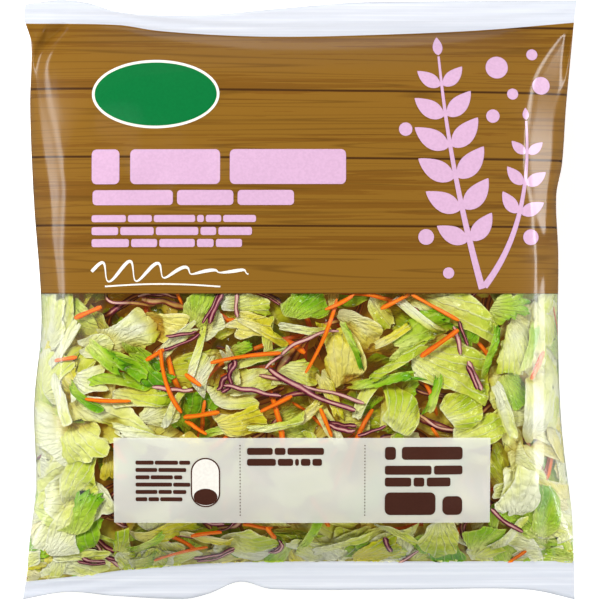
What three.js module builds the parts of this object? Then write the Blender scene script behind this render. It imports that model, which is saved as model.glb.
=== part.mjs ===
// A sealed pillow bag of cut salad leaves, lying on its back with the printed front up.
// Millimetres, +Z up. +Y runs from the bottom seal to the top seal, and +X to the right as the front is read.
import * as THREE from "three";
import { ParametricGeometry } from "three/addons/geometries/ParametricGeometry.js";
import { mergeGeometries, mergeVertices } from "three/addons/utils/BufferGeometryUtils.js";

// Driving dimensions
const bagLength = 270;
const frontRise = 38; // the front's highest point above the plane of the seals
const backDrop = 31; // how far the back would hang below that plane with no table under it
const middleHeight = 24; // height of the middle plane over the table, where the bag is fullest
const sealHeight = 19; // height of the end seals over the table
const sealWave = 2.2; // how much the end seals roll up and down across the bag
const sealWaveLength = 168;
const sealWavePhase = 0.8;
const filmGap = 1.2; // thickness kept where the two films are welded, and along the side folds
const crimpPitch = 2.6; // from one crimp line to the next across a seal
const crimpDepth = 0.3;
const finWidth = 13; // the back seam, a strip of doubled film laid flat against the back
const finRise = 0.9;
const finRamp = 1.5; // run over which the strip's edge steps down to the back
const leafRelief = 1.8; // lumps of leaves pressing on the clear lower part
const printRelief = 0.6; // the slacker printed part
const windowTop = 4.5; // height on the front where the print ends and the clear film starts
const foldRise = 1.3; // soft folds that run up the bag beside each side
const foldSpread = 4;
const printBlend = 6; // run to either side of windowTop over which the slack of one gives way to the other

const finScale = 118; // half the bag's width where the strip's columns are laid out
const finEdge = finWidth / 2 / finScale;
const finFoot = finEdge + finRamp / finScale;
const finClear = finEdge + (3.5 * finRamp) / finScale; // the next column is no closer than this

// The fullness: how fast it falls off towards the welds (along) and the sides (across), where a lower
// bend is a blunter end. Near the welds the sides' bend is that of a lens.
const falloff = { along: 2.7, across: 2.6 };
const bend = { along: 0.6, side: 0.46, corner: 0.8 };
const reliefFrom = 1 / 1.6; // fullness at which the lumps reach their full height
const bodyFrom = 0.5; // fullness at which the middle plane has come up from the seals' height

// Half widths up the bag, [y, half width], left and right: wide at the seals and drawn in where it is full
const leftSide = [
  [-135, 124.7], [-105, 121.8], [-80, 118.8], [-45, 119.6], [-8, 116.3],
  [45, 119.8], [85, 121.4], [113, 120.9], [124, 124], [135, 123.6],
];
const rightSide = [
  [-135, 123.6], [-105, 122.9], [-60, 117.9], [-20, 116.2], [20, 116.3],
  [46, 115.4], [60, 118], [85, 119.8], [118, 123], [135, 124.8],
];
// Cut edges and weld lines across the bag, [x, y]
const topEdge = [
  [-125, 132.8], [-108, 135], [-95, 133.6], [-84, 130.2], [-70, 128.5],
  [-40, 128.5], [-10, 131], [25, 133.8], [70, 134.6], [125, 135],
];
const topWeld = [
  [-125, 124.3], [-82, 123.8], [-64, 121.2], [-30, 118.9], [0, 118.4], [40, 119.4], [80, 121.3], [125, 125],
];
const bottomWeld = [
  [-125, -126.8], [-95, -123.6], [-70, -120.4], [-30, -118], [0, -117.5], [60, -117.5], [125, -117.5],
];
const bottomEdge = [
  [-125, -134.8], [-105, -131.4], [-84, -133.2], [-52, -134.6], [-41, -132.2],
  [-27, -126.8], [-13, -130], [50, -130.2], [102, -130.4], [125, -135],
];

// Crests of those folds, [y, x]: they leave each weld a little inside the corner and run close to the side
const leftFold = [
  [-118, -104], [-98, -113], [-60, -106], [-20, -110], [5, -107], [25, -108],
  [58, -111], [78, -115], [100, -117], [112, -115], [124, -107],
];
const rightFold = [
  [-118, 100], [-96, 112], [-55, 106], [-15, 111], [8, 109], [30, 112],
  [60, 103], [78, 100], [100, 107], [112, 113], [122, 119],
];

// Rows and columns of the surface, and how much closer together they come towards the edges, 0 to 1
const stepsAcross = 40;
const stepsBody = 38;
const stepsSeal = 7;
const crowding = { across: 0.85, body: 0.6 };
const bandEnds = [-0.5, -0.45, 0.45, 0.5]; // shares of the length at the cut edges and the welds

// A smooth function through points [at, value]: a cubic in each stretch, with slopes from the neighbours.
function curveThrough(points) {
  const slope = points.map((p, i) => {
    const before = points[Math.max(i - 1, 0)];
    const after = points[Math.min(i + 1, points.length - 1)];
    return (after[1] - before[1]) / (after[0] - before[0]);
  });
  return (at) => {
    let i = 0;
    while (i < points.length - 2 && at > points[i + 1][0]) i++;
    const [x0, y0] = points[i];
    const [x1, y1] = points[i + 1];
    const run = x1 - x0;
    const t = THREE.MathUtils.clamp((at - x0) / run, 0, 1);
    const t2 = t * t;
    const t3 = t2 * t;
    return (
      (2 * t3 - 3 * t2 + 1) * y0 + (t3 - 2 * t2 + t) * run * slope[i] +
      (3 * t2 - 2 * t3) * y1 + (t3 - t2) * run * slope[i + 1]
    );
  };
}
const halfWidth = { left: curveThrough(leftSide), right: curveThrough(rightSide) };
const lines = [bottomEdge, bottomWeld, topWeld, topEdge].map(curveThrough);
const folds = [leftFold, rightFold].map(curveThrough);

// Lumps in the film: waves that cross at different angles, [length, angle, phase, share]
const waves = [
  [61, 0.4, 0.3, 0.3], [47, 1.5, 2.1, 0.28], [38, 2.5, 4.4, 0.24],
  [31, 0.9, 1.2, 0.2], [26, 2.0, 5.3, 0.18], [22, 3.0, 3.1, 0.14],
];
function lumps(x, y) {
  return waves.reduce((sum, [length, angle, phase, share]) => {
    const along = x * Math.cos(angle) + y * Math.sin(angle);
    return sum + share * Math.sin((2 * Math.PI * along) / length + phase);
  }, 0);
}

// Where a column u (-1 left to 1 right) and a row v (0 bottom edge to 3 top edge) lie in plan.
// v counts seal, body and seal, so 1 and 2 are the weld lines.
function plan(u, v) {
  const band = Math.min(Math.floor(v), 2);
  const share = v - band;
  const y0 = bagLength * THREE.MathUtils.lerp(bandEnds[band], bandEnds[band + 1], share);
  const x = u * (u < 0 ? halfWidth.left(y0) : halfWidth.right(y0));
  const y = THREE.MathUtils.lerp(lines[band](x), lines[band + 1](x), share);
  return { x, y, band, share };
}

// How full the bag is, 0 at the welds and side folds to 1 in the middle.
// The sides are round where the bag is full, and close like a lens towards the welds.
function fullness(u, band, share) {
  if (band !== 1) return 0;
  const fromMiddle = Math.abs(2 * share - 1);
  const along = (1 - fromMiddle ** falloff.along) ** bend.along;
  const sideBend = THREE.MathUtils.lerp(bend.side, bend.corner, fromMiddle ** 3);
  return along * (1 - Math.abs(u) ** falloff.across) ** sideBend;
}

// The side folds' share of relief at a point of the front.
function foldAt(x, y) {
  return folds.reduce((sum, crest) => sum + Math.exp(-(((x - crest(y)) / foldSpread) ** 2)), 0);
}

// The front (side 1) or back (side -1) surface at column u and row v.
function surface(u, v, side) {
  const { x, y, band, share } = plan(u, v);
  const full = fullness(u, band, share);
  const roll = sealWave * Math.sin((2 * Math.PI * x) / sealWaveLength + sealWavePhase);
  const bodyShare = Math.min(1, full / bodyFrom);
  const middle = THREE.MathUtils.lerp(sealHeight + roll, middleHeight, bodyShare);
  const sealDistance = band === 0 ? lines[1](x) - y : y - lines[2](x);
  const crimp = band === 1 ? 0 : crimpDepth * Math.sin((Math.PI * sealDistance) / crimpPitch);
  const inWindow = THREE.MathUtils.smoothstep(windowTop - y, -printBlend, printBlend);
  const lump = THREE.MathUtils.lerp(printRelief, leafRelief, inWindow) * lumps(x, y);
  const slack = Math.min(1, full / reliefFrom);
  if (side > 0) {
    const relief = (lump + foldRise * foldAt(x, y)) * slack;
    return new THREE.Vector3(x, y, middle + filmGap / 2 + crimp + frontRise * full + relief);
  }
  const fin = finRise * THREE.MathUtils.smoothstep(finFoot - Math.abs(u), 0, finFoot - finEdge);
  const hang = middle - filmGap / 2 + crimp - backDrop * full - fin + lump * slack;
  return new THREE.Vector3(x, y, Math.max(0, hang));
}

// From -1 to 1 in even steps that are drawn closer together towards both ends.
function crowded(i, steps, share) {
  const t = (2 * i) / steps - 1;
  return THREE.MathUtils.lerp(t, Math.sin((t * Math.PI) / 2), share);
}

// Columns: closer together towards the sides, where the film turns over, and two along each edge of the
// back seam.
function columnList() {
  const list = [0];
  for (let i = 0; i <= stepsAcross; i++) {
    const u = crowded(i, stepsAcross, crowding.across);
    if (Math.abs(u) > finClear) list.push(u);
  }
  for (const side of [-1, 1]) list.push(side * finEdge, side * finFoot);
  return list.sort((a, b) => a - b);
}

// Rows: even steps over each seal, closer together towards the welds over the body.
function rowList() {
  const list = [];
  for (let i = 0; i < stepsSeal; i++) list.push(i / stepsSeal);
  for (let i = 0; i <= stepsBody; i++) list.push(1.5 + crowded(i, stepsBody, crowding.body) / 2);
  for (let i = 1; i <= stepsSeal; i++) list.push(2 + i / stepsSeal);
  return list;
}

// One closed skin: front, back, and a narrow wall between them round the whole outline.
function bagGeometry() {
  const columns = columnList();
  const rows = rowList();
  const across = columns.length - 1;
  const along = rows.length - 1;
  const column = (a) => columns[Math.round(a * across)];
  const row = (b) => rows[Math.round(b * along)];
  const face = (point) => new ParametricGeometry((a, b, p) => p.copy(point(a, b)), across, along);
  const wall = (point, steps) =>
    new ParametricGeometry((a, b, p) => p.lerpVectors(point(a, -1), point(a, 1), b), steps, 1);
  const pieces = [
    face((a, b) => surface(column(a), row(b), 1)),
    face((a, b) => surface(column(1 - a), row(b), -1)),
    wall((a, side) => surface(1, row(a), side), along),
    wall((a, side) => surface(-1, row(1 - a), side), along),
    wall((a, side) => surface(column(a), 0, side), across),
    wall((a, side) => surface(column(1 - a), 3, side), across),
  ];
  for (const piece of pieces) {
    piece.deleteAttribute("normal");
    piece.deleteAttribute("uv");
  }
  return mergeVertices(mergeGeometries(pieces), 1e-3);
}

const bag = new THREE.Mesh(
  bagGeometry(),
  new THREE.MeshStandardMaterial({ color: 0xb4ab6b, roughness: 0.3, metalness: 0 }),
);
bag.name = "salad_bag";
bag.geometry.computeBoundingBox();
const middleOfBox = bag.geometry.boundingBox.getCenter(new THREE.Vector3());
bag.geometry.translate(-middleOfBox.x, -middleOfBox.y, 0);

const part = new THREE.Group();
part.add(bag);
export default part;
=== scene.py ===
import math
from functools import partial

import bpy
import numpy as np
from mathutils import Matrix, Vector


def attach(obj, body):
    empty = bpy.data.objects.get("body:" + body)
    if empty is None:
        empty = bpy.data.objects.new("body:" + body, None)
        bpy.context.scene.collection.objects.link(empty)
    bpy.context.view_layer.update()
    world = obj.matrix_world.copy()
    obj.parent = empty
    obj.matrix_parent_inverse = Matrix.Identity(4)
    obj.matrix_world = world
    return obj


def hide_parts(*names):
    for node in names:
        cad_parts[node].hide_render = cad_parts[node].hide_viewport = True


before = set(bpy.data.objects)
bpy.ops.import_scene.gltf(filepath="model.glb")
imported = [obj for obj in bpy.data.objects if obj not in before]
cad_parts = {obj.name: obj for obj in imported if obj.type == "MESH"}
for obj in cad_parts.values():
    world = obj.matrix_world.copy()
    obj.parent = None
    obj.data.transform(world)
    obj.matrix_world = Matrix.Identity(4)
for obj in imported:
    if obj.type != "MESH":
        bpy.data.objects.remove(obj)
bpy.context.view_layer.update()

# A clear pillow bag of cut salad lying on its back. Lengths here are millimetres until a mesh is made.
mm = 0.001
photoPixel = 0.444  # one pixel of the photograph, 600 across, on the bag's front
photoMiddle = 300


def onBag(px, py):
    # where a pixel of the photograph lies on the bag's front, seen from above
    px, py = np.asarray(px, float), np.asarray(py, float)
    return (px - photoMiddle) * photoPixel, (photoMiddle - py) * photoPixel


def sRgb(code):
    # linear colour of an sRGB hex value
    parts = np.array([int(code[i : i + 2], 16) for i in (1, 3, 5)]) / 255
    return (*np.where(parts <= 0.04045, parts / 12.92, ((parts + 0.055) / 1.055) ** 2.4), 1.0)


def lerp(a, b, share):
    # a share of the way from a to b
    return a + (b - a) * share


def smoothStep(x, low, high):
    # t^2 (3 - 2t), t being the share of the way from low to high
    t = np.clip((x - low) / (high - low), 0, 1)
    return t * t * (3 - 2 * t)


def curveThrough(points):
    # a cubic in each stretch between points (at, value), with slopes from the neighbours
    at, value = np.array(points, float).T
    last = len(at) - 1
    before = np.maximum(np.arange(last + 1) - 1, 0)
    after = np.minimum(np.arange(last + 1) + 1, last)
    slope = (value[after] - value[before]) / (at[after] - at[before])

    def height(x):
        i = np.clip(np.searchsorted(at, x) - 1, 0, last - 1)
        run = at[i + 1] - at[i]
        t = np.clip((x - at[i]) / run, 0, 1)
        rise = 3 * t**2 - 2 * t**3
        lean = (t**3 - 2 * t**2 + t) * slope[i] + (t**3 - t**2) * slope[i + 1]
        return lerp(value[i], value[i + 1], rise) + run * lean

    return height


# The film, in the sizes that the CAD solid has. The ends' powers shape the swell from the middle to the
# welds and the sides' powers across it. The outlines below are points (x, y) or (y, x) of each edge.
film = {
    "length": 270,
    "bodyEnd": 0.45,
    "endFall": 2.7,
    "endRound": 0.6,
    "sideFall": 2.6,
    "sideRound": 0.46,
    "cornerRound": 0.8,
    "frontRise": 38,
    "backDrop": 31,
    "middleHeight": 24,
    "sealHeight": 19,
    "sealWave": 2.2,
    "sealWaveLength": 168,
    "sealWavePhase": 0.8,
    "gap": 1.2,
    "crimpPitch": 2.6,
    "crimpDepth": 0.3,
    "finEdge": 6.5 / 118,
    "finFoot": 8.0 / 118,
    "finRise": 0.9,
    "leafRelief": 1.8,
    "printRelief": 0.6,
    "printEdge": 2.8,
    "printBlend": 6,
    "foldRise": 0.4,
    "foldSpread": 5,
    "weldRun": 6,
    "slackGain": 1.6,
    "facetFall": 0.84,
    "innerCrease": (-3.0, 3.5),
    "outerCrease": (-4.5, 1.0),
    "facetEnd": 6,
    "facetRim": 0.02,
    "puckerRise": 0.28,
    "puckerReach": 11,
    "puckerLength": 8.5,
    "puckerSway": 2.2,
    "puckerSwayLength": 17,
}
leftSide = [
    (-135, 124.7), (-105, 121.8), (-80, 118.8), (-45, 119.6), (-8, 116.3),
    (45, 119.8), (85, 121.4), (113, 120.9), (124, 124), (135, 123.6),
]
rightSide = [
    (-135, 123.6), (-105, 122.9), (-60, 117.9), (-20, 116.2), (20, 116.3),
    (46, 115.4), (60, 118), (85, 119.8), (118, 123), (135, 124.8),
]
topEdge = [
    (-125, 132.8), (-108, 135), (-95, 133.6), (-84, 130.2), (-70, 128.5),
    (-40, 128.5), (-10, 131), (25, 133.8), (70, 134.6), (125, 135),
]
topWeld = [
    (-125, 124.3), (-82, 123.8), (-64, 121.2), (-30, 118.9), (0, 118.4), (40, 119.4), (80, 121.3), (125, 125),
]
bottomWeld = [
    (-125, -126.8), (-95, -123.6), (-70, -120.4), (-30, -118), (0, -117.5), (60, -117.5), (125, -117.5),
]
bottomEdge = [
    (-125, -134.8), (-105, -131.4), (-84, -133.2), (-52, -134.6), (-41, -132.2),
    (-27, -126.8), (-13, -130), (50, -130.2), (102, -130.4), (125, -135),
]
leftFold = [
    (-118, -104), (-98, -113), (-60, -106), (-20, -110), (5, -107), (25, -108),
    (58, -111), (78, -115), (100, -117), (112, -115), (124, -107),
]
rightFold = [
    (-118, 100), (-96, 112), (-55, 106), (-15, 111), (8, 109), (30, 112),
    (60, 103), (78, 100), (100, 107), (112, 113), (122, 119),
]
# Flat facets between creases at the sides, with the photograph's pixels: (row, inner edge, outer edge)
facetPlaces = [
    [(12, 72, 62), (25, 66, 50), (57, 46, 35), (96, 46, 34), (134, 56, 39), (172, 63, 48), (191, 65, 53),
     (210, 64, 52), (230, 63, 49), (249, 62, 51), (268, 63, 54), (292, 63, 57), (306, 62, 60)],
    [(22, 568, 572), (33, 562, 570), (57, 546, 567), (77, 536, 565), (96, 532, 561), (115, 529, 558),
     (134, 525, 556), (153, 523, 555), (172, 524, 554), (191, 529, 552), (210, 534, 551), (230, 541, 549),
     (245, 545, 548)],
    [(262, 545, 546), (290, 539, 548), (340, 538, 549), (400, 536, 548), (460, 537, 548), (520, 538, 550),
     (560, 540, 551), (576, 544, 548)],
]
waves = [
    (61, 0.4, 0.3, 0.3), (47, 1.5, 2.1, 0.28), (38, 2.5, 4.4, 0.24),
    (31, 0.9, 1.2, 0.2), (26, 2.0, 5.3, 0.18), (22, 3.0, 3.1, 0.14),
]
halfLeft, halfRight, weldLow, weldHigh, edgeLow, edgeHigh, *foldCrests = map(
    curveThrough, (leftSide, rightSide, bottomWeld, topWeld, bottomEdge, topEdge, leftFold, rightFold))


def facetEdges(rows):
    # the inner and the outer edge of a facet, as functions of y, and the stretch of y that it fills
    table = np.array(rows, float)[::-1]
    x, y = onBag(table[:, 1:], table[:, :1])
    up = y[:, 0]
    return curveThrough(np.stack([up, x[:, 0]], -1)), curveThrough(np.stack([up, x[:, 1]], -1)), up[0], up[-1]


facets = [facetEdges(rows) for rows in facetPlaces]


def lumps(x, y):
    # a sum of waves, each with its own length, angle, phase and share
    total = 0
    for length, angle, phase, share in waves:
        total = total + share * np.sin(2 * np.pi * (x * np.cos(angle) + y * np.sin(angle)) / length + phase)
    return total


def halfWidth(side, y):
    # from the middle line to the edge, on the left where side is below 0
    return np.where(side < 0, halfLeft(y), halfRight(y))


def bodyShare(x, y):
    # 0 at the bottom weld to 1 at the top weld
    return (y - weldLow(x)) / (weldHigh(x) - weldLow(x))


def skinHeight(x, y, u, face):
    # Height of the front (face 1) or back (face -1) at a plan point, u being its share of the half width.
    # The swell is (1 - m^endFall)^endRound (1 - |u|^sideFall)^p, m being 0 midway between the welds and 1 at
    # them, and lumps, creases and puckers are added to it.
    share = bodyShare(x, y)
    inBody = (share > 0) & (share < 1)
    fromMiddle = np.abs(2 * np.clip(share, 0, 1) - 1)
    along = (1 - fromMiddle ** film["endFall"]) ** film["endRound"]
    power = lerp(film["sideRound"], film["cornerRound"], fromMiddle**3)
    across = np.clip(1 - np.abs(u) ** film["sideFall"], 0, 1) ** power
    full = np.where(inBody, along * across, 0)
    roll = film["sealWave"] * np.sin(2 * np.pi * x / film["sealWaveLength"] + film["sealWavePhase"])
    middle = lerp(film["sealHeight"] + roll, film["middleHeight"], np.minimum(1, 2 * full))
    fromWeld = np.where(share < 0.5, weldLow(x) - y, y - weldHigh(x))
    crimp = np.where(inBody, 0, film["crimpDepth"] * np.sin(np.pi * fromWeld / film["crimpPitch"]))
    inWindow = smoothStep(film["printEdge"] - y, -film["printBlend"], film["printBlend"])
    lump = lerp(film["printRelief"], film["leafRelief"], inWindow) * lumps(x, y)
    # short puckers run from the welds into the film and die out
    reach = np.exp(-np.abs(fromWeld) / film["puckerReach"])
    sway = film["puckerSway"] * np.sin(x / film["puckerSwayLength"])
    pucker = film["puckerRise"] * reach * np.sin(2 * np.pi * x / film["puckerLength"] + sway)
    slack = np.minimum(1, film["slackGain"] * full)
    if face > 0:
        folds = sum(np.exp(-(((x - crest(y)) / film["foldSpread"]) ** 2)) for crest in foldCrests)
        relief = (lump + film["foldRise"] * folds + pucker) * slack
        eased = 1 - np.exp(-np.abs(fromWeld) / film["weldRun"])
        return middle + film["gap"] / 2 + crimp + film["frontRise"] * full * eased + relief
    fin = film["finRise"] * smoothStep(film["finFoot"] - np.abs(u), 0, film["finFoot"] - film["finEdge"])
    hang = middle - film["gap"] / 2 + crimp - film["backDrop"] * full - fin + lump * slack
    return np.maximum(0, hang)


def nominalHeight(share):
    # how far up the straightened bag a share of the body is
    return film["length"] * lerp(-film["bodyEnd"], film["bodyEnd"], share)


def shareOfWidth(x, y):
    # x over the half width at its height, -1 to 1
    return np.clip(x / halfWidth(x, nominalHeight(bodyShare(x, y))), -1, 1)


def facetedHeight(x, y, u):
    # the front with its flat facets: each falls evenly outwards from its inner edge, between soft creases
    z = skinHeight(x, y, u, 1)
    for inner, outer, low, high in facets:
        inside, outside = inner(y), outer(y)
        out = np.sign(outside)
        past, wide = (x - inside) * out, (outside - inside) * out
        plane = skinHeight(inside, y, shareOfWidth(inside, y), 1) - film["facetFall"] * past
        share = smoothStep(past, *film["innerCrease"]) * smoothStep(wide - past, *film["outerCrease"])
        share = share * smoothStep(y, low, low + film["facetEnd"]) * smoothStep(high - y, 0, film["facetEnd"])
        share = share * smoothStep(1 - np.abs(u), 0, film["facetRim"])
        z = lerp(z, plane, share)
    return np.maximum(z, skinHeight(x, y, u, -1) + film["gap"])


def filmPoint(u, v, face):
    # v runs 0 bottom edge, 1 bottom weld, 2 print edge, 3 top weld, 4 top edge, and u -1 to 1 across
    printAt = film["printEdge"] / film["length"]
    ends = film["length"] * np.array([-0.5, -film["bodyEnd"], printAt, film["bodyEnd"], 0.5])
    band = np.clip(np.floor(v).astype(int), 0, 3)
    share = v - band
    nominal = lerp(ends[band], ends[band + 1], share)
    x = u * halfWidth(u, nominal)
    lines = np.stack([edgeLow(x), weldLow(x), np.full_like(x, film["printEdge"]), weldHigh(x), edgeHigh(x)])
    low = np.take_along_axis(lines, band[None], 0)[0]
    high = np.take_along_axis(lines, band[None] + 1, 0)[0]
    y = lerp(low, high, share)
    return np.stack([x, y, facetedHeight(x, y, u) if face > 0 else skinHeight(x, y, u, face)], -1)


def frontHeight(x, y):
    # height of the front over a plan point
    return facetedHeight(x, y, shareOfWidth(x, y))


# Meshes
def gridQuads(rows, columns, start=0):
    # faces of a grid of points, counterclockwise with columns to the right and rows up
    i, j = np.meshgrid(np.arange(rows - 1), np.arange(columns - 1), indexing="ij")
    first = start + i * columns + j
    return np.stack([first, first + 1, first + columns + 1, first + columns], -1).reshape(-1, 4)


def slabQuads(rows, columns):
    # a closed slab: a top grid, a bottom grid that follows it, and the rim between them
    count = rows * columns
    top = gridQuads(rows, columns)
    bottom = gridQuads(rows, columns, count)[:, ::-1]
    index = np.arange(count).reshape(rows, columns)
    ring = np.concatenate([index[0, :-1], index[:-1, -1], index[-1, :0:-1], index[:0:-1, 0]])
    ahead = np.roll(ring, -1)
    rim = np.stack([ring, ring + count, ahead + count, ahead], -1)
    return np.concatenate([top, bottom, rim])


def strandQuads(stations, sides=8):
    # a closed strand: rings of 8 points along a line, and three faces over each end
    i, j = np.meshgrid(np.arange(stations - 1), np.arange(sides), indexing="ij")
    ahead = (j + 1) % sides
    skin = np.stack([i * sides + j, i * sides + ahead, (i + 1) * sides + ahead, (i + 1) * sides + j], -1)
    cap = np.array([[0, 1, 2, 3], [0, 3, 4, 7], [4, 5, 6, 7]])
    end = cap + (stations - 1) * sides
    return np.concatenate([skin.reshape(-1, 4), cap[:, ::-1], end])


def makePiece(name, points, quads, materials, worn=None, facts=None, crisp=None):
    # points in millimetres, worn the material of each face, facts a value or vector for each point, crisp
    # the angle in degrees above which an edge stays sharp
    mesh = bpy.data.meshes.new(name)
    mesh.vertices.add(len(points))
    mesh.vertices.foreach_set("co", (points * mm).astype(np.float32).ravel())
    mesh.loops.add(quads.size)
    mesh.loops.foreach_set("vertex_index", quads.astype(np.int32).ravel())
    mesh.polygons.add(len(quads))
    mesh.polygons.foreach_set("loop_start", np.arange(0, quads.size, 4, dtype=np.int32))
    for material in materials:
        mesh.materials.append(material)
    if worn is not None:
        mesh.polygons.foreach_set("material_index", worn.astype(np.int32))
    mesh.update(calc_edges=True)
    for fact, values in (facts or {}).items():
        kind, field = ("FLOAT_VECTOR", "vector") if values.ndim > 1 else ("FLOAT", "value")
        mesh.attributes.new(fact, kind, "POINT").data.foreach_set(field, values.astype(np.float32).ravel())
    mesh.polygons.foreach_set("use_smooth", np.ones(len(quads), bool))
    mesh.validate()
    if crisp:
        mesh.set_sharp_from_angle(angle=math.radians(crisp))
    piece = bpy.data.objects.new(name, mesh)
    bpy.context.scene.collection.objects.link(piece)
    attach(piece, "root")
    print(name, len(quads) * 2, "triangles")
    return piece


# Materials
def addNode(tree, kind, inputs=(), **settings):
    # One node with its settings, and its inputs by name or in order. An input is a value, a socket, or a
    # node, which gives its first output.
    made = tree.nodes.new("ShaderNode" + kind)
    for key, value in settings.items():
        setattr(made, key, value)
    for key, value in inputs.items() if isinstance(inputs, dict) else enumerate(inputs):
        if isinstance(value, bpy.types.Node):
            value = next(socket for socket in value.outputs if socket.enabled)
        if isinstance(value, bpy.types.NodeSocket):
            tree.links.new(value, made.inputs[key])
        else:
            made.inputs[key].default_value = value
    return made


def makeMaterial(name, surface, *looks):
    # a material whose surface is the node that the given function adds for these looks
    material = bpy.data.materials.new(name)
    material.use_nodes = True
    material.node_tree.nodes.clear()
    add = partial(addNode, material.node_tree)
    add("OutputMaterial", {"Surface": surface(add, *looks)})
    return material


def fillRamp(ramp, stops):
    # stops of a colour ramp: a colour for each place, as an sRGB hex value or linear
    elements = ramp.color_ramp.elements
    while len(elements) < len(stops):
        elements.new(0.5)
    for element, (place, colour) in zip(elements, stops.items()):
        element.position = place
        element.color = sRgb(colour) if isinstance(colour, str) else colour
    return ramp


# Painted shade: what is left of the light that has come down through other leaves, yellow first, then brown,
# multiplied into a piece's colour by its depth
paintedShadeStops = {0.0: (0.2, 0.08, 0.006, 1), 0.33: (0.47, 0.31, 0.045, 1), 0.6: (0.73, 0.65, 0.2, 1),
             0.8: (0.91, 0.89, 0.5, 1), 1.0: (1, 1, 1, 1)}
# Painted glow: a brown emission that stands in for the light that comes through the leaves from all sides,
# deep in the heap
paintedGlowStops = {0.0: (0.15, 0.055, 0.006, 1), 0.6: (0.06, 0.03, 0.004, 1), 1.0: (0, 0, 0, 1)}


def inTheHeap(add, colour):
    # a colour with painted shade, dimmed by the light taken to reach the piece, and a painted glow, the
    # emission colour for the light that comes through to it
    light = add("Attribute", attribute_name="light").outputs["Fac"]
    left = fillRamp(add("ValToRGB", {"Fac": light}), paintedShadeStops)
    paintedGlow = fillRamp(add("ValToRGB", {"Fac": light}), paintedGlowStops)
    dimmed = add("Mix", {"Factor": 1.0, "A": colour, "B": left}, data_type="RGBA", blend_type="MULTIPLY")
    paintedGlowColour = add("Mix", {"Factor": 0.8, "A": paintedGlow, "B": colour}, data_type="RGBA", blend_type="MULTIPLY")
    return dimmed, paintedGlowColour


def leafSurface(add, stops, veinColour, look):
    # Fresh cut lettuce: a moist, waxy skin with a soft sheen. Pale veins fan out from the rib, with darker
    # and lighter fibres beside them and blisters between. The colour goes from rib to rim.
    place = add("Attribute", attribute_name="leafPlace").outputs["Vector"]
    tone = add("Attribute", attribute_name="tone").outputs["Fac"]
    coords = add("TexCoord").outputs["Object"]
    fanned = add("SeparateXYZ", [place]).outputs["Y"]
    mottle = add("TexNoise", {"Scale": 1 / (7 * mm), "Detail": 3, "Vector": coords})
    shift = add("Math", [mottle, look["mottle"], -look["mottle"] / 2], operation="MULTIPLY_ADD")
    # fibres: long in the way the veins run, and narrow across it
    drawn = add("VectorMath", [place, (1 / 16, 1.1, 1)], operation="MULTIPLY")
    fibre = add("TexNoise", {"Scale": 1.0, "Detail": 3, "Roughness": 0.5, "Vector": drawn})
    streak = add("Math", [fibre, look["fibre"], -look["fibre"] / 2], operation="MULTIPLY_ADD")
    toned = add("Math", [tone, shift], operation="ADD")
    streaked = add("Math", [toned, streak], operation="ADD")
    ramp = fillRamp(add("ValToRGB", {"Fac": streaked}), stops)
    # main veins: thin lines where the fan coordinate passes a whole number
    sway = add("Math", [mottle, 0.8], operation="MULTIPLY")
    fan = add("Math", [fanned, sway], operation="ADD")
    fold = add("Math", [fan, 0.5], operation="PINGPONG")
    line = add("MapRange", {"Value": fold, "From Min": 0.12, "From Max": 0.02},
               interpolation_type="SMOOTHSTEP")
    share = add("Math", [line, look["veins"]], operation="MULTIPLY")
    veined = add("Mix", {"Factor": share, "A": ramp, "B": sRgb(veinColour)}, data_type="RGBA")
    # blisters between them, about 4 mm long and 3 mm wide
    squeeze = add("VectorMath", [place, (1 / 4, 1.1, 1)], operation="MULTIPLY")
    net = add("TexVoronoi", {"Scale": 1.0, "Vector": squeeze}, feature="DISTANCE_TO_EDGE")
    swollen = add("Math", [net, 2.2, fibre], operation="MULTIPLY_ADD")
    rise = add("Math", [line, 0.5, swollen], operation="MULTIPLY_ADD")
    bump = add("Bump", {"Strength": 0.85, "Distance": 0.66 * mm, "Height": rise})
    sheen = add("MapRange", {"Value": mottle, "To Min": 0.3, "To Max": 0.5})
    # painted shade by depth, and a painted glow given as emission
    colour, paintedGlow = inTheHeap(add, veined)
    skin = add("BsdfPrincipled", {
        "Base Color": colour, "Roughness": sheen, "IOR": 1.42, "Specular IOR Level": 0.3, "Normal": bump,
        "Coat Weight": 0.5, "Coat Roughness": 0.18, "Coat Normal": bump,
        "Emission Color": paintedGlow, "Emission Strength": 1.0})
    glow = add("BsdfTranslucent", {"Color": colour})
    return add("MixShader", [leafThinness, skin, glow])


leafThinness = 0.2  # the share of the light that a leaf lets through
icebergLeaf = makeMaterial(
    "iceberg_lettuce_pale_cut_leaf", leafSurface,
    {0.0: "#FAFAD6", 0.3: "#F2F4A0", 0.55: "#E0E65C", 0.8: "#BACF26", 1.0: "#90B20A"},
    "#FAFACC", {"mottle": 0.6, "fibre": 0.32, "veins": 0.45})
heartLeaf = makeMaterial(
    "iceberg_lettuce_yellow_heart_leaf", leafSurface,
    {0.0: "#FFF8BE", 0.3: "#F8EE7C", 0.55: "#ECE03A", 0.8: "#D2CF1A", 1.0: "#A8B80E"},
    "#FFF9BE", {"mottle": 0.55, "fibre": 0.3, "veins": 0.35})
greenLeaf = makeMaterial(
    "green_lettuce_outer_leaf", leafSurface,
    {0.0: "#E6EE86", 0.3: "#C0DC44", 0.55: "#98C81C", 0.8: "#6CAE0A", 1.0: "#468802"},
    "#D8E980", {"mottle": 0.6, "fibre": 0.35, "veins": 0.4})


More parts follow.
